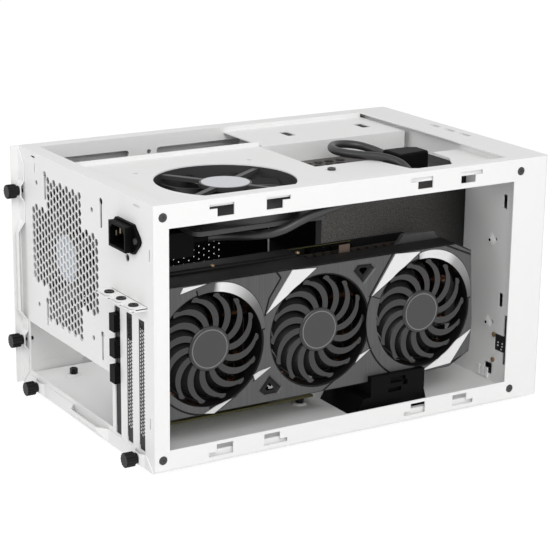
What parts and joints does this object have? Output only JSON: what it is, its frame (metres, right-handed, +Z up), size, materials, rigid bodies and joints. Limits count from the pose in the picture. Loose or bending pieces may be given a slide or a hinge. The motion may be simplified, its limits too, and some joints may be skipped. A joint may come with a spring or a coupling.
{
  "type": "small form factor computer case",
  "caption": "White sheet-steel cube computer case, open at the side and top, with sliding panels, case fans, power supply and a long fan-cooled graphics card.",
  "frame": {"origin": "on the floor, under the middle of the case", "axes": "+Z up, -Y towards the front bezel, +X towards the closed far side panel; the open side looks along -X"},
  "size_m": [0.244, 0.3858, 0.214],
  "materials": {
    "white_steel": "fine powder coat",
    "white_plastic": "matte",
    "black_metal": "satin black",
    "black_steel": "textured black",
    "bright_screw": "zinc plate",
    "black_plastic": "matte",
    "fan_plastic": "satin",
    "gunmetal_plastic": "satin metallic grey",
    "silver_trim": "satin",
    "fin_aluminium": "plain",
    "copper_pipe": "plain copper",
    "brass_pin": "plated",
    "circuit_board": "solder mask",
    "socket_metal": "plated",
    "rubber": "matte",
    "black_rubber": "matte"
  },
  "bodies": {
    "chassis": {"board_standoffs": "black_metal", "card_backplate": "black_metal", "card_board": "circuit_board", "card_bracket": "black_steel", "card_face_plates": "gunmetal_plastic", "card_fan_carriers": "black_plastic", "card_heat_pipes": "copper_pipe", "card_heatsink": "fin_aluminium", "card_holder_base": "black_plastic", "card_holder_block": "black_plastic", "card_port_caps": "black_plastic", "card_power_sockets": "black_plastic", "card_shroud": "black_plastic", "card_slot": "black_plastic", "card_trim": "silver_trim", "drive_cage": "white_steel", "fan_plate": "white_steel", "far_side_frame": "white_steel", "floor_tray": "white_steel", "frame_screws": "bright_screw", "front_bezel": "white_plastic", "front_frame": "white_steel", "front_io_board": "circuit_board", "front_ports": "socket_metal", "inlet_pins": "brass_pin", "inlet_screws": "bright_screw", "lead_boot": "black_plastic", "near_base_rail": "white_steel", "near_rear_stile": "white_steel", "near_top_rail_front": "white_steel", "near_top_rail_middle": "white_steel", "near_top_rail_rear": "white_steel", "plate_screw": "bright_screw", "power_inlet": "black_plastic", "power_lead": "black_rubber", "power_plug": "black_plastic", "power_switch": "black_plastic", "psu_body": "black_steel", "psu_plate": "white_steel", "rear_fan_frame": "black_plastic", "rear_panel": "white_steel", "slot_board": "circuit_board", "slot_cover": "black_steel", "slot_screws": "black_metal", "top_fan_frame": "black_plastic"},
    "far_panel": {"far_side_panel": "white_steel", "dust_filter": "black_plastic", "far_panel_thumbscrews": "black_metal"},
    "base_panel": {"bottom_panel": "white_steel", "bottom_panel_thumbscrews": "black_metal", "rubber_feet": "rubber"},
    "top_fan_wheel": {"top_fan_rotor": "black_plastic"},
    "rear_fan_wheel": {"rear_fan_rotor": "black_plastic"},
    "card_wheel_1": {"card_fan_1": "fan_plastic"},
    "card_wheel_2": {"card_fan_2": "fan_plastic"},
    "card_wheel_3": {"card_fan_3": "fan_plastic"},
    "button": {"power_button": "white_plastic"}
  },
  "joints": [
    {"name": "top_fan_spin", "type": "hinge", "parent": "chassis", "child": "top_fan_wheel", "pos_m": [-0.0505, 0.0766, 0.195], "axis": [0, 0, 1], "continuous": true},
    {"name": "rear_fan_spin", "type": "hinge", "parent": "chassis", "child": "rear_fan_wheel", "pos_m": [0.0344, 0.1661, 0.1364], "axis": [0, 1, 0], "continuous": true},
    {"name": "card_fan_1_spin", "type": "hinge", "parent": "chassis", "child": "card_wheel_1", "pos_m": [-0.102, 0.1224, 0.0914], "axis": [1, 0, 0], "continuous": true},
    {"name": "card_fan_2_spin", "type": "hinge", "parent": "chassis", "child": "card_wheel_2", "pos_m": [-0.102, 0.0226, 0.0914], "axis": [1, 0, 0], "continuous": true},
    {"name": "card_fan_3_spin", "type": "hinge", "parent": "chassis", "child": "card_wheel_3", "pos_m": [-0.102, -0.0772, 0.0914], "axis": [1, 0, 0], "continuous": true},
    {"name": "power_button_press", "type": "slide", "parent": "chassis", "child": "button", "axis": [0, 1, 0], "range_m": [0, 0.0015], "stiffness_N_per_m": 800},
    {"name": "far_panel_slide", "type": "slide", "parent": "chassis", "child": "far_panel", "axis": [0, 1, 0], "range_m": [0, 0.012]},
    {"name": "bottom_panel_slide", "type": "slide", "parent": "chassis", "child": "base_panel", "axis": [0, 1, 0], "range_m": [0, 0.012]}
  ]
}
